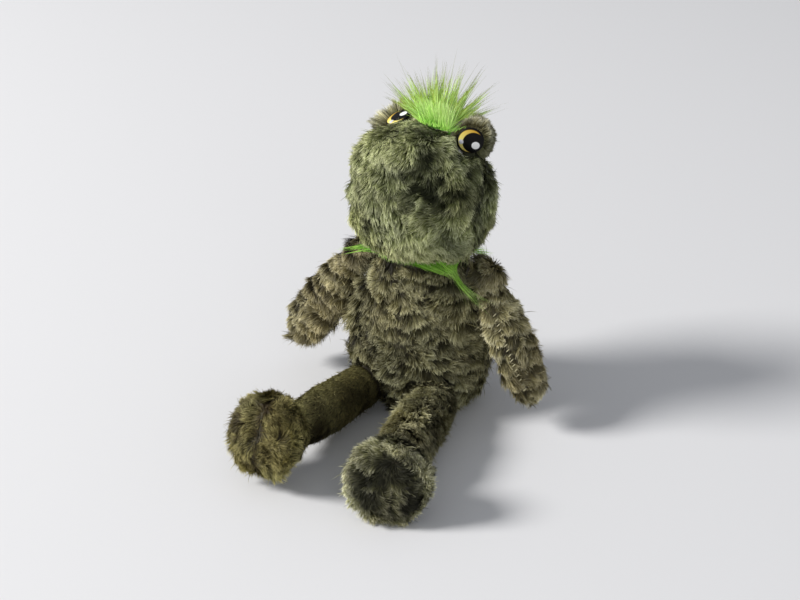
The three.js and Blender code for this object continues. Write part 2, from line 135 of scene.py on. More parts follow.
floor_mesh = bpy.data.meshes.new("floor")
reach = 4.0
floor_mesh.from_pydata([(-reach, -reach, 0), (reach, -reach, 0), (reach, reach, 0), (-reach, reach, 0)], [],
                       [(0, 1, 2, 3)])
floor = put("floor", floor_mesh)
floor_paint, shader = new_finish("floor_paint", 0.9)
feed(shader, Base_Color=paint(226, 226, 228))
floor_mesh.materials.append(floor_paint)

# Torso: a belly panel and a back panel of shaggy plush in bands, sewn at the sides and filled with fibre.
# The cloth lies under the pile; the pile of each band falls over the valley of the band below it.
# The hair tuft's solid is left out here: it stands for loose hair, and pile grows up to the roots of that.
solid_points, solid_faces = [], []
for node, piece in frame["nodes"].items():
    if node == "hair_tuft":
        continue
    first = len(solid_points)
    solid_points += [v.co.copy() for v in piece.data.vertices]
    solid_faces += [[first + i for i in f.vertices] for f in piece.data.polygons]
solids = BVHTree.FromPolygons(solid_points, solid_faces)
view_x, view_y, view_z = (np.array(v) for v in (sideways, upwards, away))


def mm(x, y, z):
    return np.array([x, y, z]) * MM


def fading(off, reach):
    """1 where off is 0, and less and less beyond the reach."""
    return np.exp(-(off / reach) ** 2)


def close_to(points, place, reach):
    """1 at a place, and less and less round it; the reach is in mm along x, y and z."""
    return np.exp(-(((points - place) / (np.array(reach) * MM)) ** 2).sum(1))


def unit(vectors):
    return vectors / (np.linalg.norm(vectors, axis=-1, keepdims=True) + 1e-12)


def ripple(points, *waves):
    """A smooth random field over space. Each wave is a strength, the size of its swells in mm, and a seed."""
    total = np.zeros(len(points))
    for strength, size, seed in waves:
        rng = np.random.default_rng(seed)
        for _ in range(7):
            way = unit(rng.normal(size=3)) * (2 * math.pi / (size * MM)) * rng.uniform(0.6, 1.5)
            total += strength / 2.6 * np.sin(points @ way + rng.uniform(0, 2 * math.pi))
    return total


def new_mesh(name, points, faces, finish):
    mesh = bpy.data.meshes.new(name)
    mesh.from_pydata([tuple(p) for p in points], [], [tuple(int(i) for i in f) for f in faces])
    mesh.polygons.foreach_set("use_smooth", [True] * len(mesh.polygons))
    mesh.materials.append(finish)
    return put(name, mesh)


def cloth_finish(name, colour, yarn):
    """Knitted backing cloth: fine rows of loops, a little lighter on their crowns."""
    finish, shader = new_finish(name, 0.9)
    place = add(finish, "TexCoord").outputs["Object"]
    loops = add(finish, "TexVoronoi", Scale=1400, Vector=place).outputs["Distance"]
    tint = add(finish, "Mix", {"data_type": "RGBA"}, A=paint(*colour), B=paint(*yarn), Factor=loops)
    rise = add(finish, "Bump", Strength=0.5, Distance=0.3 * MM, Height=loops)
    feed(shader, Base_Color=tint.outputs["Result"], Normal=rise.outputs["Normal"])
    return finish


def pile_finish(name, root, middle, tip, shade, stain, stained, blotch, blotch_size):
    """Pile: dark at the root, pale at the tip, with dull and bright locks, blotches and stained patches."""
    finish, shader = new_finish(name, 0.55)
    lay = add(finish, "Attribute", {"attribute_name": "lay"})
    parts = add(finish, "SeparateColor", Color=lay.outputs["Color"])
    ramp = add(finish, "ValToRGB", Fac=parts.outputs["Red"])
    stops = ramp.color_ramp.elements
    stops[0].position, stops[0].color = 0.1, paint(*root)
    stops[1].position, stops[1].color = 1.0, paint(*tip)
    stops.new(0.6).color = paint(*middle)
    # Where the tone is low the colour goes over to the shade colour. The coats set the tone: in band valleys, face
    # folds and on sides away from the lamp it is painted shade; elsewhere, as at seams and on the near eye mound,
    # it is the pile's own darker colour.
    shaded = add(finish, "Mix", {"data_type": "RGBA"}, A=paint(*shade), B=ramp.outputs["Color"],
                 Factor=parts.outputs["Blue"])
    place = add(finish, "TexCoord").outputs["Object"]

    def patches(size, low, high, seed):
        """A soft random field over the toy, brought to the range low to high."""
        cloud = add(finish, "TexNoise", {"noise_dimensions": "4D"}, W=seed, Scale=1 / size, Detail=3,
                    Vector=place)
        return add(finish, "MapRange", From_Min=0.36, From_Max=0.64, To_Min=low, To_Max=high,
                   Value=cloud.outputs["Fac"]).outputs["Result"]

    browned = add(finish, "Mix", {"data_type": "RGBA", "blend_type": "MULTIPLY"}, A=shaded.outputs["Result"],
                  B=paint(*stain), Factor=patches(blotch_size * 1.6, 0.0, stained, 3.0))
    each = add(finish, "MapRange", To_Min=0.55, To_Max=1.45, Value=parts.outputs["Green"])
    both = add(finish, "Math", {"operation": "MULTIPLY"})
    finish.node_tree.links.new(patches(blotch_size, 1 - blotch, 1 + blotch, 1.0), both.inputs[0])
    finish.node_tree.links.new(each.outputs["Result"], both.inputs[1])
    bright = add(finish, "HueSaturation", Color=browned.outputs["Result"], Value=both.outputs["Value"])
    feed(shader, Base_Color=bright.outputs["Color"], Specular_IOR_Level=0.2)
    return finish


def measured(points, tri, reach=4 * MM):
    """Of each triangle: its doubled area along its normal, its area, normal and middle, and how far from it
    is the solid that it faces. That is infinite where none is within reach, and no number for a sliver."""
    cross = np.cross(points[tri[:, 1]] - points[tri[:, 0]], points[tri[:, 2]] - points[tri[:, 0]])
    area, normal, middle = np.linalg.norm(cross, axis=1) / 2, unit(cross), points[tri].mean(1)
    off_surface, sliver = 2e-5, 1e-9

    def gap(i):
        found = solids.ray_cast(Vector(middle[i] + normal[i] * off_surface), Vector(normal[i]), reach)[3]
        return math.inf if found is None else found

    gaps = np.array([gap(i) if area[i] > sliver else math.nan for i in range(len(tri))])
    return cross, area, normal, middle, gaps


def skin(node, depth, finish, open_reach=4 * MM):
    """The backing cloth of one panel, and the part of it that carries pile.
    The CAD panel's right side is where nothing faces it closely; that side is let in by the pile's depth,
    and its edges are drawn together where two panels are sewn."""
    source = frame["nodes"][node].data
    co = np.empty(len(source.vertices) * 3)
    source.vertices.foreach_get("co", co)
    keys, index = np.unique(np.round(co.reshape(-1, 3) * 1e6).astype(np.int64), axis=0, return_inverse=True)
    points = keys * 1e-6
    index = index.reshape(-1)
    faces = []
    for f in source.polygons:
        corners = [int(index[i]) for i in f.vertices]
        if len(set(corners)) == len(corners):
            faces.append(corners)
    tri = np.array([f for f in faces if len(f) == 3])
    cross, area, _, _, gaps = measured(points, tri, open_reach)
    shown = np.isinf(gaps)
    smooth = np.zeros_like(points)
    for k in range(3):
        np.add.at(smooth, tri[shown, k], cross[shown])
    moved = np.linalg.norm(smooth, axis=1) > 0
    smooth = unit(smooth)
    seam_gap, seam_draw = 0.45 * MM, 0.16 * MM
    drawn = np.zeros_like(points)
    for i in np.flatnonzero(gaps < seam_gap):
        drawn[tri[i]] += cross[i]
    at_seam = np.linalg.norm(drawn, axis=1) > 0
    drawn = unit(drawn - smooth * (drawn * smooth).sum(1, keepdims=True)) * at_seam[:, None]
    let_in = points + (drawn * seam_draw - smooth * depth) * moved[:, None]
    let_in[:, 2] = np.maximum(let_in[:, 2], 0.4 * MM)
    cloth = new_mesh(node + "_cloth", let_in, faces, finish)
    return cloth, (let_in[tri[shown]], smooth[tri[shown]], area[shown])


def scatter(patch, seed, per_mm2):
    rng = np.random.default_rng(seed)
    corners, normals, area = patch
    count = int(area.sum() * 1e6 * per_mm2)
    chosen = rng.choice(len(area), count, p=area / area.sum())
    u, v = rng.random(count), rng.random(count)
    flip = u + v > 1
    u[flip], v[flip] = 1 - u[flip], 1 - v[flip]
    share = np.stack([1 - u - v, u, v], 1)[:, :, None]
    return (corners[chosen] * share).sum(1), unit((normals[chosen] * share).sum(1))


def comb(normal, way):
    """The part of a direction that lies along the surface."""
    return unit(way - normal * (way * normal).sum(1, keepdims=True) + 1e-9)


def turned(flow, normal, angle):
    return flow * np.cos(angle)[:, None] + np.cross(normal, flow) * np.sin(angle)[:, None]


STEPS = np.array([0.0, 0.38, 0.72, 1.0])
FULL = np.array([1.0, 0.95, 0.65, 0.0])


def strips(name, line, across, values, finish):
    """One mesh of tapered strips, each with its own small cell of the map, and a point colour that says
    how far along the strip a point lies, the strip's own shade and the band's tone."""
    count, rows = line.shape[:2]
    each = 2 * rows - 1
    points = np.empty((count, each, 3))
    points[:, 0:-1:2] = line[:, :-1] - across[:, :-1]
    points[:, 1:-1:2] = line[:, :-1] + across[:, :-1]
    points[:, -1] = line[:, -1]
    points[:, :, 2] = np.maximum(points[:, :, 2], 0.3 * MM)
    pattern = []
    for k in range(rows - 2):
        pattern += [2 * k, 2 * k + 1, 2 * k + 3, 2 * k + 2]
    pattern += [each - 3, each - 2, each - 1]
    sizes = np.tile(np.array([4] * (rows - 2) + [3]), count)
    corners = (np.arange(count)[:, None] * each + np.array(pattern)[None]).reshape(-1)
    mesh = bpy.data.meshes.new(name)
    mesh.vertices.add(count * each)
    mesh.vertices.foreach_set("co", points.reshape(-1))
    mesh.loops.add(len(corners))
    mesh.loops.foreach_set("vertex_index", corners.astype(np.int32))
    mesh.polygons.add(len(sizes))
    mesh.polygons.foreach_set("loop_start", np.concatenate([[0], np.cumsum(sizes)[:-1]]).astype(np.int32))
    mesh.update(calc_edges=True)
    mesh.polygons.foreach_set("use_smooth", np.ones(len(sizes), bool))
    along = np.empty(each)
    along[0:-1:2] = along[1:-1:2] = np.linspace(0, 1, rows)[:-1]
    along[-1] = 1.0
    aside = np.full(each, 0.5)
    aside[0:-1:2], aside[1:-1:2] = 0.12, 0.88
    wide = max(1, math.ceil(math.sqrt(2 * count)))
    tall = max(1, math.ceil(count / wide))
    number = np.arange(count)[:, None]
    places = np.stack([(number % wide + aside[None]) / wide,
                       (number // wide + 0.08 + 0.84 * along[None]) / tall], 2)
    cells = mesh.uv_layers.new(name="OFBake")
    cells.data.foreach_set("uv", places.reshape(-1, 2)[corners].reshape(-1))
    lay = mesh.color_attributes.new("lay", "FLOAT_COLOR", "POINT")
    colours = np.ones((count, each, 4))
    colours[:, :, 0] = along[None]
    colours[:, :, 1:3] = values[:, None]
    lay.data.foreach_set("color", colours.reshape(-1))
    mesh.materials.append(finish)
    return put(name, mesh)


def locks(name, coat, finish, seed, width=0.40 * MM, per_lock=90, per_wisp=6, gather=0.34, bunch=0.16,
          swirl=0.25, lift=0.06, bend=0.4, droop=0.15, wave=0.5 * MM, keep_clear=None, loose=0.03, raised=0.0):
    """Pile of one panel as tapered strips: hairs gather into wisps, and wisps bunch into locks, which turn
    and lie each in its own way. A few hairs stand out loose, and a share of the locks may be raised, with
    pale tips. A dense pile is laid as two pieces. A coat is the roots, the surface's normal there, and the
    pile's flow, length, lean and tone."""
    roots, normal, flow, length, lean, tone = coat
    rng = np.random.default_rng(seed)
    count = len(roots)
    most_strips = 38000

    def leaders(per):
        """The first roots lead; every other root follows the one nearest to it."""
        number = max(1, count // per)
        tree = KDTree(number)
        for i in range(number):
            tree.insert(Vector(roots[i]), i)
        tree.balance()
        return np.array([tree.find(Vector(p))[1] for p in roots]), number

    def led(value, leader, number):
        """A value that may change over the panel, as the leaders have it."""
        return np.broadcast_to(value, count)[:number][leader]

    lock, lock_count = leaders(per_lock)
    wisp, wisp_count = leaders(per_wisp)
    stray = (rng.random(count) < loose) & (np.arange(count) >= wisp_count)
    up = rng.random(lock_count)[lock] < led(raised, lock, lock_count)
    lock_tone = rng.normal(0, 1, lock_count)[lock] + 1.6 * up
    wisp_tone = rng.normal(0, 1, wisp_count)[wisp]
    phase = rng.uniform(0, 2 * math.pi, lock_count)[lock]
    angle = led(swirl, lock, lock_count) * rng.normal(0, 1, lock_count)[lock]
    angle = angle + 0.12 * rng.normal(0, 1, wisp_count)[wisp]
    flow = turned(flow, normal, angle + rng.normal(0, 0.09, count) + stray * rng.normal(0, 0.7, count))
    side = np.cross(normal, flow)
    tilt = lean + led(lift, lock, lock_count) * rng.normal(0, 1, lock_count)[lock]
    tilt = tilt + 0.04 * rng.normal(0, 1, wisp_count)[wisp]
    start = np.clip(tilt + rng.normal(0, 0.04, count) - 0.2 * stray - 0.14 * up, 0.04, 0.97) * (math.pi / 2)
    end = np.clip(start + bend + rng.normal(0, 0.08, count), 0.05, 1.62)
    long = length * rng.uniform(0.86, 1.12, lock_count)[lock] * rng.uniform(0.9, 1.08, wisp_count)[wisp]
    long = long * rng.uniform(0.8, 1.08, count) * (1 + 0.12 * stray + 0.1 * up)
    away_first = normal * np.cos(start)[:, None] + flow * np.sin(start)[:, None]
    away_last = normal * np.cos(end)[:, None] + flow * np.sin(end)[:, None]
    away_last[:, 2] -= droop
    away_last = unit(away_last)
    t = STEPS[None, :, None]
    line = roots[:, None] + long[:, None, None] * (
        away_first[:, None] * (t - t * t / 2) + away_last[:, None] * (t * t / 2))
    pull = rng.uniform(0.4, 1.0, count) * ~stray
    line = line + (line[wisp] - line) * (t ** 1.3) * (gather * pull)[:, None, None]
    line = line + (line[lock] - line) * (t ** 2) * (bunch * pull)[:, None, None]
    sway = np.sin(phase[:, None] + rng.normal(0, 0.4, count)[:, None] + STEPS[None] * 4.4) * STEPS[None]
    line = line + side[:, None] * (sway * wave)[:, :, None]
    if keep_clear is not None:
        line = keep_clear(line)
    along = unit(np.gradient(line, axis=1))
    roll = rng.normal(0, 0.6, count)
    facing = normal * np.cos(roll)[:, None] + side * np.sin(roll)[:, None]
    across = unit(np.cross(along, facing[:, None])) * (FULL[None, :, None] * width / 2)
    values = np.stack([
        np.clip(0.5 + 0.08 * lock_tone + 0.09 * wisp_tone + rng.normal(0, 0.11, count), 0, 1),
        np.clip(tone + 0.07 * lock_tone, 0, 1)], 1)
    parts = math.ceil(count / most_strips)
    names = [name] if parts == 1 else [f"{name}_{k + 1}" for k in range(parts)]
    return [strips(names[k], line[k::parts], across[k::parts], values[k::parts], finish)
            for k in range(parts)]


def room_for(roots, normal, length):
    """Pile is shorter where another piece lies close over it, and there is none under a piece that sits
    on it. The room is measured from above the panel that the pile grows on."""
    above, reach, least = 4.2 * MM, 14 * MM, 1.5 * MM
    free = np.array([
        solids.ray_cast(Vector(p + n * above), Vector(n), reach)[3] or reach for p, n in zip(roots, normal)])
    return np.minimum(length, (free + 4 * MM) * 0.8 + least), free > least


def on_ball(node, pivot, rng):
    """Roots on the ball of a limb: it lies in its cup at rest and comes into sight when the limb swings."""
    source = frame["nodes"][node].data
    points = np.array([v.co for v in source.vertices])
    tri = np.array([f.vertices for f in source.polygons if len(f.vertices) == 3])
    _, area, normal, middle, gaps = measured(points, tri)
    ball = np.isfinite(gaps) & ((normal * unit(middle - pivot)).sum(1) > 0.9)
    if not ball.any():
        return np.zeros((0, 3)), np.zeros((0, 3))
    return scatter((points[tri[ball]], np.repeat(normal[ball, None], 3, 1), area[ball]), rng, per_mm2=3.2)


def with_ball(node, pivot, along, coat, seed, ball_tone):
    """The coat of a limb's panel together with short flat pile on its ball."""
    rng = np.random.default_rng(seed)
    more, out = on_ball(node, pivot, rng)
    length, lean = 2.6 * MM, 0.93
    ball_coat = [more, out, comb(out, np.tile(along, (len(more), 1)))]
    ball_coat += [np.full(len(more), value) for value in (length, lean, ball_tone)]
    columns = [np.concatenate(pair) for pair in zip(coat, ball_coat)]
    order = rng.permutation(len(columns[0]))
    return [column[order] for column in columns]


def fit(piece, body, stands_for=None):
    """The body that a piece moves with, and the solid that it replaces."""
    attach(piece, body)
    if stands_for:
        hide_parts(stands_for)


def dress(node, body, cloth, pile):
    """The cloth of a panel stands for its solid, and the pile rides on the same body."""
    fit(cloth, body, node)
    for part in pile:
        fit(part, body)


body_cloth = cloth_finish("body_backing", (48, 45, 30), (70, 66, 46))
body_pile = pile_finish("body_pile", (52, 49, 30), (123, 120, 82), (226, 224, 182),
                        (38, 35, 21), (230, 206, 170), 0.4, 0.24, 0.03)
band_from, band_pitch = 7 * MM, 9.4 * MM


def thatch(place, pitch):
    """Pile in bands: how high a root stands in its band, and from that its length, lean and tone.
    The pile of a band ends a little below the valley under it, with lifted, pale tips. Its tone is painted darker
    towards the top of the band, as shade under the overhanging tips of the band above."""
    up = place - np.floor(place)
    length = np.clip(up * pitch + 3.8 * MM, 6.0 * MM, 12.5 * MM)
    lean = 0.50 + 0.30 * np.clip(up * 1.3, 0, 1)
    # Painted shade: the tone falls towards the top of the band, under the tips of the band above.
    tone = np.clip(1.10 - 0.85 * np.clip((up - 0.40) / 0.55, 0, 1), 0.28, 1)
    return length, lean, tone


beside_arms = [  # where the pile is longer, beside an arm: from the neck's middle, and its reach, in mm
    ((pivots["right_shoulder_swing"] - neck) / MM + np.array([8, -14, -26]), (12, 16, 24), 5.0),
    (np.array([37.5, -7.0, -19.0]), (8, 10, 12), 5.0),
    (np.array([30.5, -6.0, 1.0]), (8, 10, 9), 5.0),
]
breast = neck + mm(14, -34, -10)
for node, seed in (("belly_panel", 21), ("back_panel", 22)):
    cloth, patch = skin(node, 3.4 * MM, body_cloth)
    roots, normal = scatter(patch, seed, per_mm2=3.9)
    low = np.clip((neck[2] - 0.03 - roots[:, 2]) / 0.035, 0, 1)
    place = (roots[:, 2] - band_from) / band_pitch + ripple(roots, (0.36, 45, 11), (0.24, 18, 12))
    length, lean, tone = thatch(place, band_pitch)
    from_axis = unit((roots - np.array(torso_middle)) * [1, 1, 0])
    flow = comb(normal, np.array([0, 0, -1.0]) + 0.3 * from_axis)
    chaos = ripple(roots, (0.8, 34, 13)) + (0.45 + 0.35 * low) * ripple(roots, (1, 14, 15))
    flow = turned(flow, normal, chaos + ripple(roots, (0.3, 8, 17)))
    length = length * (1 + ripple(roots, (0.14, 20, 16)))
    length, kept = room_for(roots, normal, length)
    for place_from_neck, reach_mm, more in beside_arms:
        off = (roots - neck) / MM - place_from_neck
        beside = np.exp(-((off / np.array(reach_mm)) ** 2).sum(1))
        length, lean = length + more * MM * beside, lean - 0.3 * beside
    pale = close_to(roots, breast, (14, 30, 9))
    left_side = np.clip((roots[:, 0] - neck[0] - 20 * MM) / (14 * MM), 0, 1)
    tone = np.clip(tone + ripple(roots, (0.26, 22, 14), (0.2, 9, 18)) + 0.18 * pale
                   - 0.14 * low + 0.34 * left_side, 0, 1)
    coat = [column[kept] for column in (roots, normal, flow, length, lean, tone)]
    pile = locks(node + "_pile", coat, body_pile, seed + 100, swirl=0.3, lift=(0.06 + 0.05 * low)[kept],
                 raised=(0.05 + 0.14 * low)[kept])
    dress(node, "torso", cloth, pile)

# Head: a face panel and a nape panel of soft mottled plush over a muzzle and a mouth fold.
# The pile swirls away from the muzzle and down, with painted light on the muzzle and the lamp's side of the face
# and painted shade in the folds and on the other side, and ends over the neck trim at the jaw.
head_middle = neck + mm(0, -2, 59)
muzzle_tip = head_middle + mm(0, -37, 31)
head_cloth = cloth_finish("head_backing", (52, 54, 34), (72, 74, 50))
head_pile = pile_finish("head_pile", (54, 58, 32), (148, 156, 104), (244, 248, 204),
                        (38, 42, 22), (228, 216, 160), 0.4, 0.2, 0.024)
swells = np.array([  # place from the head's middle and radius in mm, how pale and how long the pile is there; the paleness paints light on the muzzle and the lamp's side of the face and shade in the folds and on the side away from the lamp
    (2, -37, 30, 8.0, 0.75, 0.40), (-10, -36.5, 28, 9, 0.34, 0.25), (-7, -38, 20, 5.0, -0.85, -0.35),
    (2, -37.5, 20, 5.5, -1.00, -0.40), (10, -36, 22, 6.0, -1.00, -0.35), (14, -31, 30, 5.0, -0.50, -0.25),
    (20, -32, 17, 10, -0.55, -0.10), (11, -37.5, 8, 9, -0.45, 0.0), (22, -34, 3, 10, -0.45, 0.0),
    (-9, -39.6, 5, 8, 0.40, 0.10), (-14, -39, -5, 9, 0.40, 0.15), (4, -40.0, -19, 11, 0.55, 0.15),
    (-22, -32, 14, 9, 0.35, 0.0), (36.4, 12.6, 12, 6.5, -0.80, -0.30), (38.5, -12, 4, 12, -0.30, 0.0),
    (33, -12, 18, 7, -0.40, -0.10), (21, -37, -13, 8, 0.30, 0.10), (30, -30, -14, 7, 0.20, 0.10),
])
eye_seats = {  # middle of the mound, the way the eye faces, the turn of the print, and how near pile comes
    "left": (head_middle + mm(27, 9, 25.5), unit(np.array([0.31, -0.91, 0.27])), 0.0, 1.03),
    "right": (head_middle + mm(-17, 13, 20.5), unit(np.array([-0.37, -0.24, 0.89])), 36.0, 0.94),
}
EYE_RADIUS = 7.9 * MM
EYE_SEAT = 10.0 * MM


def swell(points, column):
    off = points[:, None] - (head_middle + swells[:, :3] * MM)[None]
    near = np.exp(-(off ** 2).sum(2) / (swells[:, 3] * MM) ** 2)
    return near @ swells[:, column]


def clear_of_eyes(line):
    """Pile parts round the printed eyes and doesn't lie over them."""
    for centre, facing, _, nearest in eye_seats.values():
        disc = centre + facing * EYE_SEAT
        off = line - disc
        high = off @ facing
        flat = off - high[..., None] * facing
        out = np.linalg.norm(flat, axis=-1)
        inside = (high > -1 * MM) & (high < 14 * MM) & (out < EYE_RADIUS * nearest)
        push = np.where(inside, EYE_RADIUS * nearest / (out + 1e-9), 1.0)
        line = np.where(inside[..., None], disc + high[..., None] * facing + flat * push[..., None], line)
    return line


brow = head_middle + mm(-9, -15, 36)
tuft_foot = head_middle + mm(9, 1.5, 34)
for node, seed in (("face_panel", 31), ("head_back_panel", 32)):
    cloth, patch = skin(node, 3.4 * MM, head_cloth)
    roots, normal = scatter(patch, seed, per_mm2=3.9)
    from_muzzle = roots - muzzle_tip
    near = fading(np.linalg.norm(from_muzzle, axis=1), 20 * MM)
    clipped = close_to(roots, brow, (13, 12, 9))
    way = np.array([0, -0.75, -1.0]) + unit(from_muzzle) * (0.45 * (1 - near))[:, None]
    way = way - view_x * (0.9 * near + 0.5 * clipped)[:, None]
    flow = turned(comb(normal, way), normal, ripple(roots, (0.75, 34, 33), (0.5, 15, 34), (0.3, 8, 38)))
    low = np.clip((head_middle[2] - 0.012 - roots[:, 2]) / 0.03, 0, 1)
    jaw = np.clip((head_middle[2] - 0.026 - roots[:, 2]) / 0.01, 0, 1)
    length = (8.4 + 1.6 * low - 3.0 * jaw + ripple(roots, (1.2, 20, 35))) * (1 + swell(roots, 5)) * MM
    by_tuft = close_to(roots, tuft_foot, (13, 7, 9))
    length, kept = room_for(roots, normal, length * (1 - 0.62 * clipped) * (1 - 0.35 * by_tuft))
    # Tone: paler low on the face, random patches, and the swells' painted light and shade.
    tone = np.clip(0.70 + 0.25 * low + ripple(roots, (0.24, 20, 36), (0.24, 8, 39))
                   + swell(roots, 4), 0, 1)
    lean = 0.62 + ripple(roots, (0.15, 18, 37), (0.10, 8, 40))
    lean = lean + (0.92 - lean) * clipped
    coat = [column[kept] for column in (roots, normal, flow, length, lean, tone)]
    pile = locks(node + "_pile", coat, head_pile, seed + 100, swirl=0.22, bunch=0.1, wave=0.7 * MM,
                 keep_clear=clear_of_eyes, loose=0.02)
    dress(node, "head", cloth, pile)

# Eye mounds: two stuffed caps of long straight taupe plush, sewn on the head behind the eyes.
# Their pile stands out round the eye like a ruff; the far mound's is the longer and stands higher.
mound_cloth = cloth_finish("mound_backing", (74, 69, 50), (98, 93, 72))
mound_pile = pile_finish("mound_pile", (128, 122, 84), (204, 200, 164), (244, 242, 224),
                         (82, 86, 52), (236, 226, 196), 0.3, 0.12, 0.02)
ruffs = {  # places round the eye in degrees and the reach there in mm, the hairs' lean out and their number
    "left": ((-35, 0, 20, 38, 49, 59, 71, 84, 110, 150, 178),
             (2.4, 3.0, 4.0, 5.4, 8.0, 5.0, 7.0, 4.6, 4.0, 3.6, 3.0), 0.85, 1700),
    "right": ((50, 70, 205, 226), (7.5, 11.0, 11.0, 8.0), 0.60, 2000),
}
for name, (centre, facing, _, _) in eye_seats.items():
    node = name + "_eye_mound"
    cloth, patch = skin(node, 1.4 * MM, mound_cloth, open_reach=2 * MM)
    rng = np.random.default_rng(41)
    roots, normal = scatter(patch, rng, per_mm2=8.0)
    out = roots - centre
    out = unit(out - (out @ facing)[:, None] * facing)
    length = np.full(len(roots), 5.0 * MM)
    lean = 0.5 + 0.2 * (normal @ facing).clip(0, 1)
    bunch = np.full(len(roots), 0.22)
    angles, reaches, spread, number = ruffs[name]
    level = unit(view_x - facing * float(view_x @ facing))
    turn = rng.uniform(angles[0], angles[-1], number)
    long = np.interp(turn, angles, reaches) * MM
    turn = np.radians(turn)[:, None]
    radial = level * np.cos(turn) + np.cross(facing, level) * np.sin(turn)
    roots = np.concatenate([roots, centre + (facing * rng.uniform(7.6, 9.2, (number, 1))
                                             + radial * rng.uniform(8.3, 10.2, (number, 1))) * MM])
    normal = np.concatenate([normal, unit(facing * (1 - 0.5 * spread) + radial * spread)])
    out = np.concatenate([out, radial])
    length = np.concatenate([length, long])
    lean = np.concatenate([lean, np.full(number, 0.06)])
    bunch = np.concatenate([bunch, np.full(number, 0.62)])
    if name == "left":
        bearing = np.degrees(np.arctan2(out @ np.cross(facing, level), out @ level))
        tone = np.interp(bearing, (-60, 0, 25, 50), (0.15, 0.3, 0.75, 0.97))
    else:
        tone = np.full(len(roots), 0.85)
    order = rng.permutation(len(roots))
    coat = [column[order] for column in (roots, normal, comb(normal, out), length, lean, tone)]
    pile = locks(node + "_pile", coat, mound_pile, 141, width=0.34 * MM, swirl=0.12, lift=0.05, bend=0.15,
                 droop=0.0, per_lock=50 if name == "left" else 80, per_wisp=8, gather=0.3,
                 bunch=bunch[order], wave=0.3 * MM, keep_clear=clear_of_eyes)
    dress(node, "head", cloth, pile)

# Eyes: printed discs with a low dome, a black ring, a gold crescent, a wide black pupil and two white spots.
# Each is let into its mound; the far one is turned in its seat, as it is on the toy.
RINGS = [(1.0, 0.0), (1.0, 0.55), (0.985, 0.85), (0.94, 1.12), (0.86, 1.35), (0.72, 1.6), (0.55, 1.78),
         (0.36, 1.92), (0.18, 1.99)]


def tube_faces(first, rings, sides):
    """The faces of a closed tube, whose points come ring by ring from the first."""
    last = first + (rings - 1) * sides
    faces = []
    for ring in range(first, last, sides):
        for turn in range(sides):
            a, b = ring + turn, ring + (turn + 1) % sides
            faces.append((a, b, b + sides, a + sides))
    return faces + [list(reversed(range(first, first + sides))), list(range(last, last + sides))]


def eye_print():
    finish, shader = new_finish("eye_print", 0.5)
    spot = add(finish, "UVMap", {"uv_map": "print"}).outputs["UV"]

    def shape(centre, size, soft):
        """1 inside an oval of the print and 0 outside it, with an edge as soft as ink."""
        shift = add(finish, "Mapping", {"vector_type": "TEXTURE"}, Vector=spot,
                    Location=(0.5 + centre[0] / 2, 0.5 + centre[1] / 2, 0),
                    Scale=(size[0] / 2, size[1] / 2, 1))
        far = add(finish, "VectorMath", {"operation": "LENGTH"}, Vector=shift.outputs["Vector"])
        return add(finish, "MapRange", From_Min=1 - soft, From_Max=1 + soft, To_Min=1, To_Max=0,
                   Value=far.outputs["Value"]).outputs["Result"]

    def over(below, colour, mask):
        return add(finish, "Mix", {"data_type": "RGBA"}, Factor=mask, A=below, B=colour).outputs["Result"]

    black = paint(12, 11, 12)
    gold = over(paint(214, 168, 58), paint(250, 234, 132), shape((-0.72, -0.20), (0.85, 0.85), 0.6))
    disc = over(black, gold, shape((0, 0), (0.87, 0.87), 0.03))
    disc = over(disc, black, shape((0.225, -0.12), (0.79, 0.79), 0.03))
    disc = over(disc, paint(250, 250, 250), shape((0.40, -0.32), (0.30, 0.29), 0.06))
    disc = over(disc, paint(212, 212, 222), shape((-0.67, -0.06), (0.17, 0.18), 0.25))
    feed(shader, Base_Color=disc, Specular_IOR_Level=0.15)
    return finish


eye_finish = eye_print()
for name, (centre, facing, turn, _) in eye_seats.items():
    look = unit(facing - view_y * (0.30 if name == "left" else 0.0))
    x = unit(view_x - look * float(view_x @ look))
    y = np.cross(look, x)
    seat = centre + facing * (EYE_SEAT + (0.6 * MM if name == "left" else 0.0))
    around = 64
    points, flat = [], []
    for out, high in RINGS:
        for k in range(around):
            a = 2 * math.pi * k / around
            flat.append((out * math.cos(a), out * math.sin(a)))
            points.append(seat + look * high * MM + (x * math.cos(a) + y * math.sin(a)) * out * EYE_RADIUS)
    flat += [(0, 0), (0, 0)]
    points += [seat + look * 2.0 * MM, seat]
    faces = tube_faces(0, len(RINGS), around)[:-2]
    last = (len(RINGS) - 1) * around
    top, bottom = len(points) - 2, len(points) - 1
    for k in range(around):
        m = (k + 1) % around
        faces.append((last + k, last + m, top))
        faces.append((m, k, bottom))
    eye = new_mesh(name + "_eye_disc", points, faces, eye_finish)
    c, s = math.cos(math.radians(-turn)), math.sin(math.radians(-turn))
    prints = eye.data.uv_layers.new(name="print")
    for loop in eye.data.loops:
        u, v = flat[loop.vertex_index]
        prints.data[loop.index].uv = (0.5 + (u * c - v * s) / 2, 0.5 + (u * s + v * c) / 2)
    fit(eye, "head", name + "_eye")

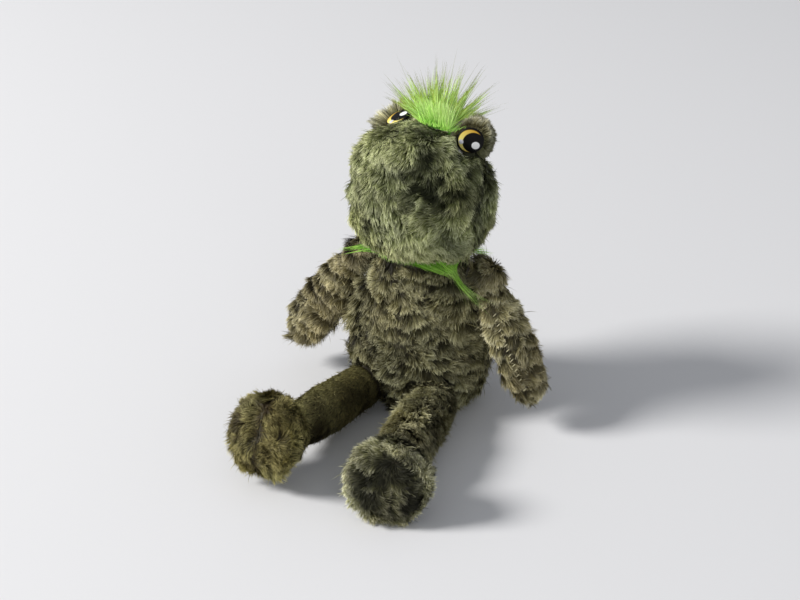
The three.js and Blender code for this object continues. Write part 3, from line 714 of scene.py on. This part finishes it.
# Arms: each an outer and an inner panel of banded plush round a fibre filling, sewn down the front and back.
# The bands run across the arm, pale at their edges with painted shade between them, and short flat pile covers the
# ball in the shoulder. The pile parts along the front seam, where small stitches of pale thread show.
arm_cloth = cloth_finish("arm_backing", (52, 48, 32), (76, 71, 50))
arm_pile = pile_finish("arm_pile", (68, 63, 40), (160, 154, 112), (244, 240, 204), (46, 41, 25),
                       (230, 206, 168), 0.4, 0.22, 0.03)
stitch_thread = cloth_finish("stitch_thread", (170, 162, 124), (208, 202, 166))
arm_pitch = 10.4 * MM
first_stitch, stitch_pitch, stitch_long, stitch_thick, above_cloth = (
    v * MM for v in (23.2, 3.2, 2.7, 0.36, 4.1))
arm_lines = {  # along the arm, then across it to the back seam
    "left": (unit(np.array([0.51, -0.24, -0.82])), np.array([0.15, 1.0, 0.0])),
    "right": (unit(np.array([-0.56, -0.11, -0.82])), np.array([-0.9, 0.3, 0.3])),
}
for name, (along, broad) in arm_lines.items():
    shoulder = pivots[name + "_shoulder_swing"]
    front = -unit(broad - along * (broad @ along))
    through = np.cross(along, front)
    if name == "left":
        front, through = front * 0.92 - through * 0.39, through * 0.92 + front * 0.39
    cloth_points, cloth_faces = [], []
    for k, part in enumerate(("outer", "inner")):
        node = f"{name}_arm_{part}_panel"
        seed = 51 + 2 * k + (name == "right")
        cloth, patch = skin(node, 3.2 * MM, arm_cloth)
        cloth_faces += [[len(cloth_points) + i for i in f.vertices] for f in cloth.data.polygons]
        cloth_points += [v.co.copy() for v in cloth.data.vertices]
        roots, normal = scatter(patch, seed, per_mm2=4.2)
        down = (roots - shoulder) @ along
        place = -(down - 16 * MM) / arm_pitch + ripple(roots, (0.28, 30, 55), (0.16, 12, 57))
        length, lean, tone = thatch(place, arm_pitch)
        seam = fading((roots - shoulder) @ through, 2.3 * MM) * ((roots - shoulder) @ front > 0)
        aside = (roots - neck)[:, 0] * (1 if name == "left" else -1)
        inward = fading(down, 10 * MM) * np.clip((47 * MM - aside) / (8 * MM), 0, 1) * (normal[:, 2] > 0)
        part_in = inward[:, None]
        way = along * (1 - part_in) + (neck + mm(0, -6, 30) - shoulder) / (40 * MM) * part_in
        flow = comb(normal, way + np.array([0, -2.0, 0]) * part_in * (1 - part_in))
        flow = turned(flow, normal, ripple(roots, (0.5, 30, 56), (0.4, 12, 58), (0.25, 8, 60)))
        length, kept = room_for(roots, normal, length * (0.94 - 0.6 * seam))
        length, lean = length + 3.8 * MM * inward, lean - 0.05 * inward
        if name == "right":
            under = (np.clip(normal @ np.array([0.62, -0.2, -0.75]), 0, 1)
                     * np.clip((down - 12 * MM) / (20 * MM), 0, 1))
            length, lean = length + 5 * MM * under, lean - 0.25 * under
        # Painted light: the left arm is painted paler, most of all near the shoulder.
        if name == "left":
            tone = tone + 0.08 + 0.38 * fading(down - 14 * MM, 18 * MM)
        tone = np.clip(tone - 0.5 * seam + ripple(roots, (0.2, 20, 59), (0.16, 9, 54)), 0, 1)
        lean = np.clip(lean + 0.45 * seam, 0, 0.97)
        coat = [column[kept] for column in (roots, normal, flow, length, lean, tone)]
        coat = with_ball(node, shoulder, along, coat, seed + 200, 0.5)
        raised = 0.08 * (np.linalg.norm(coat[0] - shoulder, axis=1) > 18 * MM)
        pile = locks(node + "_pile", coat, arm_pile, seed + 100, swirl=0.28, raised=raised, loose=0.015)
        dress(node, f"{name}_arm", cloth, pile)
    surface = BVHTree.FromPolygons(cloth_points, cloth_faces)
    points, faces = [], []
    for k in range(16):
        start = shoulder + along * (first_stitch + stitch_pitch * k) + front * 30 * MM
        hit = surface.ray_cast(Vector(start), Vector(-front))[0]
        if hit is None:
            continue
        middle = np.array(hit) + front * above_cloth
        across = unit(through + along * 0.45)
        lift = np.cross(across, along)
        first = len(points)
        for end in range(5):
            thick = stitch_thick * math.sin(math.pi * (0.14 + 0.72 * end / 4))
            for turn in range(6):
                a = turn * math.pi / 3
                points.append(middle + across * (end / 4 - 0.5) * stitch_long
                              + thick * (lift * math.cos(a) + np.cross(across, lift) * math.sin(a)))
        faces += tube_faces(first, 5, 6)
    stitches = new_mesh(f"{name}_arm_stitches", points, faces, stitch_thread)
    fit(stitches, f"{name}_arm")

# Legs: each an upper and an under panel of plush, combed down the leg, with short flat pile on its ball.
# The right leg's pile is short and smooth, the left one's is longer and ruffled.
leg_cloth = cloth_finish("leg_backing", (40, 35, 22), (56, 50, 34))
leg_piles = {
    "left": pile_finish("left_leg_pile", (56, 52, 32), (146, 141, 100), (238, 234, 192),
                        (46, 42, 26), (226, 204, 168), 0.2, 0.24, 0.03),
    "right": pile_finish("right_leg_pile", (74, 69, 42), (146, 140, 92), (190, 186, 132),
                         (36, 30, 18), (222, 196, 158), 0.35, 0.14, 0.035),
}
leg_looks = {  # depth and length in mm, lean, swirl, gather, wave in mm, tone, and how much paler it is painted on faces turned up to the lamp, as painted light
    "left": (2.8, 8.0, 0.56, 0.30, 0.34, 0.6, 0.62, 0.3),
    "right": (2.2, 5.0, 0.74, 0.05, 0.12, 0.1, 0.26, 0.75),
}
for name, (depth, long, lean, swirl, gather, wave, pale, paler_where_lit) in leg_looks.items():
    along = unit(pivots[name + "_ankle_bend"] - pivots[name + "_hip_lift"])
    for k, part in enumerate(("upper", "under")):
        node = f"{name}_leg_{part}_panel"
        seed = 61 + 2 * k + (name == "right")
        cloth, patch = skin(node, depth * MM, leg_cloth)
        roots, normal = scatter(patch, seed, per_mm2=5.2)
        flow = comb(normal, np.tile(along, (len(roots), 1)))
        flow = turned(flow, normal, (0.1 + 1.2 * swirl) * ripple(roots, (1, 30, 65), (0.6, 13, 67)))
        length, kept = room_for(roots, normal, long * (1 + ripple(roots, (0.12, 20, 68))) * MM)
        # Painted light: the pile is paler on the faces turned up towards the key lamp.
        lit = np.clip(normal @ unit(np.array([-0.35, -0.25, 0.9])), 0, 1)
        tone = np.clip(pale + paler_where_lit * lit ** 1.5 + ripple(roots, (0.22, 26, 66)), 0, 1)
        leans = np.full(len(roots), lean)
        coat = [column[kept] for column in (roots, normal, flow, length, leans, tone)]
        coat = with_ball(node, pivots[name + "_hip_lift"], along, coat, seed + 200, pale)
        pile = locks(node + "_pile", coat, leg_piles[name], seed + 100, swirl=swirl, bend=0.3, gather=gather,
                     bunch=0.5 * gather, lift=0.02 + 0.15 * swirl, wave=wave * MM,
                     raised=0.4 * max(0, swirl - 0.1))
        dress(node, f"{name}_leg", cloth, pile)

# Feet: round shaggy pads with a hollowed sole and a seam down the middle.
# The pile swirls over the sole and stands out in locks round its rim. The left sole is dark in its middle
# and pale at the rim; the right one's pile parts at its seam.
foot_cloth = cloth_finish("foot_backing", (42, 38, 25), (60, 56, 38))
foot_piles = {
    "left": pile_finish("left_foot_pile", (52, 52, 31), (138, 138, 97), (248, 246, 212),
                        (34, 34, 20), (226, 206, 166), 0.4, 0.22, 0.028),
    "right": pile_finish("right_foot_pile", (58, 55, 29), (128, 124, 78), (206, 200, 140),
                         (52, 42, 22), (230, 206, 158), 0.4, 0.22, 0.028),
}
soles = {"left": unit(np.array([0.28, -0.94, 0.2])), "right": unit(np.array([-0.2, -0.9, 0.38]))}
for name, facing in soles.items():
    ankle = pivots[name + "_ankle_bend"]
    level = unit(np.cross(facing, np.array([0, 0, 1.0])))
    for k, part in enumerate(("outer", "inner")):
        node = f"{name}_foot_{part}_panel"
        seed = 71 + 2 * k + (name == "right")
        cloth, patch = skin(node, 3.4 * MM, foot_cloth)
        roots, normal = scatter(patch, seed, per_mm2=4.6)
        outward = roots - ankle
        outward = outward - (outward @ facing)[:, None] * facing
        middle = fading(np.linalg.norm(outward, axis=1), 15 * MM)
        outward = unit(outward)
        on_sole = np.clip((normal @ facing) * 1.6, 0, 1)
        round_about = np.cross(facing, outward)
        way = 0.7 * outward + 0.8 * round_about
        if name == "left":
            across = view_x * 0.7 - view_y * 0.5
            way = way * (1 - 0.75 * middle)[:, None] + across * 1.3 * middle[:, None]
        way = way * on_sole[:, None] + facing * (1 - on_sole)[:, None] - np.array([0, 0, 0.45])
        aside = (roots - ankle) @ level
        if name == "right":
            parted = fading(aside, 9 * MM) * on_sole
            way = way + level * (np.sign(aside) * parted * 2.2)[:, None]
        flow = turned(comb(normal, way), normal, ripple(roots, (0.7, 26, 75), (0.5, 12, 78), (0.3, 7, 80)))
        rim = fading(normal @ facing - 0.35, 0.32)
        seam = fading(aside, (2.2 if name == "right" else 1.4) * MM) * on_sole
        length = (7.0 + 2.0 * rim + ripple(roots, (1.2, 15, 76))) * (1 - 0.35 * seam) * MM
        length, kept = room_for(roots, normal, length)
        middle_tone, rim_tone = (0.16, 1.02) if name == "left" else (0.58, 0.3)
        tone = np.clip(middle_tone + rim_tone * rim + ripple(roots, (0.24, 16, 77), (0.14, 7, 81))
                       - 0.5 * seam, 0, 1)
        lean = np.clip(0.66 - 0.12 * rim + 0.2 * seam + ripple(roots, (0.08, 15, 79)), 0.1, 0.95)
        coat = [column[kept] for column in (roots, normal, flow, length, lean, tone)]
        pile = locks(node + "_pile", coat, foot_piles[name], seed + 100, swirl=0.3, per_lock=60, droop=0.1,
                     bunch=(0.1 + 0.2 * rim)[kept], raised=(0.04 + 0.35 * rim)[kept])
        dress(node, f"{name}_foot", cloth, pile)

# Hair tuft: very long bright green pile from a sewn strip on the crown, in pointed locks that fan out.
# The lower half is thick and bright; thin hairs run on from it to dull dark tips.
tuft_root = head_middle + mm(3, 7, 34)
neon_cloth = cloth_finish("neon_backing", (96, 168, 50), (124, 200, 70))
neon_pile = pile_finish("neon_pile", (198, 248, 130), (226, 255, 166), (232, 254, 180),
                        (150, 216, 98), (240, 246, 150), 0.4, 0.08, 0.02)
neon_ends = pile_finish("neon_ends", (190, 240, 112), (186, 206, 96), (112, 108, 56),
                        (96, 110, 50), (240, 240, 150), 0.5, 0.1, 0.02)


def hair(name, hairs, width, tones, finish, seed, rows=8):
    """Long hair: each a thin strip that bends from its start past its middle point to its end."""
    starts, mids, ends = (np.array(column) for column in zip(*hairs))
    rng = np.random.default_rng(seed)
    t = np.linspace(0, 1, rows)[None, :, None]
    line = starts[:, None] * (1 - t) ** 2 + mids[:, None] * 2 * t * (1 - t) + ends[:, None] * t * t
    along = unit(np.gradient(line, axis=1))
    facing = unit(rng.normal(size=starts.shape) * 0.6 + view_z)
    full = np.clip(1.25 * (1 - t[0, :, 0]), 0, 1) ** 0.8
    across = unit(np.cross(along, facing[:, None])) * full[None, :, None] * width / 2
    values = np.stack([rng.uniform(0.25, 0.75, len(starts)), tones], 1)
    return strips(name, line, across, values, finish)


tuft_tips = [  # across, up and towards the front of the fan, in mm from the root strip's middle
    (-29, 24, 4), (-28, 14, 2), (-20, 25, -2), (-18, 32, 3), (-10, 28, 6), (-3, 31, -3), (2, 37, 4),
    (8, 36, 0), (13, 30, 6), (17, 23, -4), (21, 35, 2), (26, 22, 5), (31, 31, 0), (38, 20, 3), (42, 9, 0),
    (34, 13, 5),
]
rng = np.random.default_rng(81)


def tuft_start(spread):
    """A place on the sewn strip, which runs over the crown from behind the brow to the near eye mound."""
    return tuft_root + mm(6 + 9.5 * spread, -5.5 - 3.2 * spread, 0.5 - spread * spread)


short_to, half_to, hairs_per_tip = 84, 116, 140
thick, thin = [], []
for number, (over, high, fore) in enumerate(tuft_tips):
    base = tuft_start(number / (len(tuft_tips) - 1) * 2 - 1)
    tip = tuft_root + (view_x * over + view_y * high + view_z * fore) * MM
    for k in range(hairs_per_tip):
        start = base + rng.normal(0, 1, 3) * np.array([2.0, 1.8, 0.5]) * MM
        if k < short_to:
            share, stray = rng.uniform(0.24, 0.56), 1.6
        elif k < half_to:
            share, stray = rng.uniform(0.50, 0.86), 0.7
        else:
            share, stray = rng.uniform(0.65, 1.06), 0.7 + 2.8 * rng.random() ** 2
        end = start + (tip + rng.normal(0, stray, 3) * MM - start) * share
        mid = (start + end) / 2 + rng.normal(0, 1, 3) * share * 1.3 * MM + view_y * share * 1.5 * MM
        (thick if k < half_to else thin).append((start, mid, end))
for k in range(150):
    spread = rng.uniform(-1, 1)
    start = tuft_start(spread) + mm(0, rng.uniform(-3, 3), 0)
    turn = 0.05 + spread * 0.85 + rng.normal(0, 0.2)
    way = view_x * math.sin(turn) + view_y * math.cos(turn) + view_z * rng.normal(0, 0.3)
    end = start + way * rng.uniform(16, 32) * MM
    thin.append((start, (start + end) / 2 + rng.normal(0, 1.6, 3) * MM, end))
front_lock = []
for k in range(700):
    spread = rng.uniform(-1, 1)
    start = tuft_start(spread) + mm(0, -1.5 + rng.normal(0, 1), 0)
    end = start + (view_x * (spread * 4 - 1 + rng.normal(0, 1.5)) + view_y * rng.uniform(5, 15)
                   + view_z * rng.uniform(1, 5)) * MM
    front_lock.append((start, (start + end) / 2 + view_z * 1.5 * MM, end))
thick += front_lock
tuft = hair("hair_tuft_locks", thick, 0.42 * MM, rng.uniform(0.7, 1.0, len(thick)), neon_pile, 82)
fit(tuft, "head", "hair_tuft")
tuft_thin = hair("hair_tuft_ends", thin, 0.26 * MM, rng.uniform(0.7, 1.0, len(thin)), neon_ends, 83)
fit(tuft_thin, "head")
points = []
for k in range(13):
    middle = tuft_start(k / 6 - 1)
    for turn in range(8):
        a = turn * math.pi / 4
        points.append(middle + mm(0, 2.2 * math.cos(a), 1.9 * math.sin(a) - 2.0))
tuft_strip = new_mesh("hair_tuft_strip", points, tube_faces(0, 13, 8), neon_cloth)
fit(tuft_strip, "head")

# Neck trim: a strip of the same green pile sewn into the neck seam, with short pile under the whole head.
# Its pile lies flat under the jaw and comes out as a fan over the left breast, drawn to a point, and as a
# thin lock at each shoulder.
trim_cloth, _ = skin("neck_trim", 0.5 * MM, neon_cloth)
trim_cloth.name = "neck_trim_strip"
hem_polar = math.radians(62)
for point in trim_cloth.data.vertices:
    off = np.array(point.co) - neck
    far = np.linalg.norm(off)
    if math.acos(off[2] / far) > hem_polar:
        out = unit(off * [1, 1, 0])
        point.co = neck + (out * math.sin(hem_polar) + np.array([0, 0, math.cos(hem_polar)])) * far


def on_neck(azimuth, polar, radius):
    a, q = np.radians(azimuth), np.radians(polar)
    return neck + radius * MM * np.stack([np.sin(q) * np.cos(a), np.sin(q) * np.sin(a), np.cos(q)], -1)


trim_pile = pile_finish("trim_pile", (112, 172, 48), (166, 222, 88), (212, 244, 142),
                        (70, 108, 32), (230, 240, 140), 0.3, 0.12, 0.01)
rng = np.random.default_rng(91)
flat_hairs, hairs_under_head, fan_hairs, tail_hairs = 1500, 4200, 200, 230
hairs = []
for k in range(flat_hairs):
    turn = rng.uniform(-180, 180)
    start = on_neck(turn, rng.uniform(52, 60), 34.2)
    end = on_neck(turn + rng.normal(0, 7), rng.uniform(62, 68), 35.4)
    hairs.append((start, (start + end) / 2 + (start - neck) * 0.03, end))
for k in range(hairs_under_head):  # in sight when the head nods or turns
    turn, polar = rng.uniform(-180, 180), math.degrees(math.acos(rng.uniform(0.56, 0.95)))
    start = on_neck(turn, polar, 34.2)
    end = on_neck(turn + rng.normal(0, 5), polar + rng.uniform(8, 12), 34.9)
    hairs.append((start, (start + end) / 2 + (start - neck) * 0.012, end))
fan_turn, fan_tail = neck + mm(29.3, -17.6, 5.0), neck + mm(45.8, -17.6, -9.5)
for k in range(fan_hairs + tail_hairs):
    if k < fan_hairs:
        start = on_neck(rng.uniform(-84, -34), rng.uniform(59, 64), 37 + rng.uniform(0, 2.0))
        last = fan_turn + rng.normal(0, 1, 3) * np.array([1.4, 1.0, 1.4]) * MM
        bend = (start + last) / 2 + (start - neck) * 0.05
        reach_out = rng.uniform(0.4, 1.08)
    else:
        start = on_neck(rng.uniform(-42, -24), rng.uniform(60, 66), 37 + rng.uniform(0, 2.0))
        drawn = fan_turn + rng.normal(0, 1, 3) * np.array([0.8, 0.8, 0.9]) * MM
        last = fan_tail + rng.normal(0, 1, 3) * np.array([3.6, 1.0, 3.4]) * MM
        bend = 2 * drawn - (start + last) / 2
        reach_out = rng.uniform(0.3, 0.58) if k % 4 else rng.uniform(0.6, 1.1)
    end = start * (1 - reach_out) ** 2 + bend * 2 * reach_out * (1 - reach_out) + last * reach_out ** 2
    hairs.append((start, start + (bend - start) * reach_out, end))
side_locks = (  # from, to and the number of hairs, in mm from the neck's middle
    ((-26, -17, 13.5), (-51, -16, 4.5), 16), ((-30, -15, 12), (-44, -15, 6), 10),
    ((33, -15, 23), (46, -9, 24), 20), ((36, -12, 21), (50, -5, 20), 10),
)
for first, last, number in side_locks:
    for k in range(number):
        start = neck + (np.array(first) + rng.normal(0, 1, 3) * np.array([2.5, 1.0, 0.7])) * MM
        end = neck + (np.array(last) + rng.normal(0, 1, 3) * np.array([3.5, 1.2, 0.9])) * MM
        mid = (start + end) / 2 + mm(0, -0.5, 1.2)
        hairs.append((start, mid, start + (end - start) * rng.uniform(0.5, 1.05)))
trim = hair("neck_trim_pile", hairs, 0.36 * MM, rng.uniform(0.55, 1.0, len(hairs)), trim_pile, 92, rows=6)
dress("neck_trim", "neck", trim_cloth, [trim])

# Filling: loose white polyester fibre in every stuffed form, packed into lumps.
def grained(name, kind, scale, dark, pale, roughness, **more):
    """A finish that goes from one colour to another with a fine grain."""
    finish, shader = new_finish(name, roughness)
    grain = add(finish, "Tex" + kind, Scale=scale, Vector=add(finish, "TexCoord").outputs["Object"], **more)
    tint = add(finish, "ValToRGB", Fac=grain.outputs["Fac"])
    for stop, colour in zip(tint.color_ramp.elements, (dark, pale)):
        stop.color = paint(*colour)
    feed(shader, Base_Color=tint.outputs["Color"])
    return finish, shader, grain, tint.color_ramp.elements


fibre, shader, wool, stops = grained("fibre", "Noise", 240, (206, 204, 198), (240, 239, 235), 1.0, Detail=8)
stops[0].position, stops[1].position = 0.3, 0.7
fluff = add(fibre, "Bump", Distance=0.6 * MM, Height=wool.outputs["Fac"])
feed(shader, Normal=fluff.outputs["Normal"])
for body, members in frame["record"]["behaviour"]["bodies"].items():
    for node in members:
        if not node.endswith("stuffing"):
            continue
        lumps = bmesh.new()
        lumps.from_mesh(frame["nodes"][node].data)
        bmesh.ops.subdivide_edges(lumps, edges=lumps.edges[:], cuts=1, use_grid_fill=True)
        lumps.normal_update()
        pressed = 0.45 + ripple(np.array([v.co for v in lumps.verts]), (0.4, 9, 95))
        deeper = 2.6 if "mound" in node else 0.0
        for vertex, depth in zip(lumps.verts, pressed.clip(0.05, 1.0) + deeper):
            vertex.co -= vertex.normal * float(depth) * MM
        mesh = bpy.data.meshes.new(node.replace("stuffing", "filling"))
        lumps.to_mesh(mesh)
        lumps.free()
        mesh.materials.append(fibre)
        mesh.polygons.foreach_set("use_smooth", [True] * len(mesh.polygons))
        fit(put(mesh.name, mesh), body, node)

# Seam rings: the bands of dark thread where arms and legs are sewn to the torso, wound with slanted stitches.
thread = grained("seam_thread", "Wave", 260, (30, 27, 20), (66, 60, 46), 0.7)[0]
for name in ("left_shoulder_seam", "right_shoulder_seam", "left_hip_seam", "right_hip_seam"):
    frame["nodes"][name].material_slots[0].material = thread

# Squeaker: a moulded bellows between two plates, with a reed and its tube, in the filling of the belly.
plastic = grained("squeaker_plastic", "Noise", 900, (214, 212, 202), (236, 234, 226), 0.4)[0]
for name in ("squeaker_base", "squeaker_reed_tube", "squeaker_bellows", "squeaker_crown"):
    frame["nodes"][name].material_slots[0].material = plastic
reed, shader, _, _ = grained("reed_metal", "Noise", 2000, (168, 166, 160), (196, 194, 188), 0.35)
feed(shader, Metallic=0.9)
frame["nodes"]["squeaker_reed"].material_slots[0].material = reed
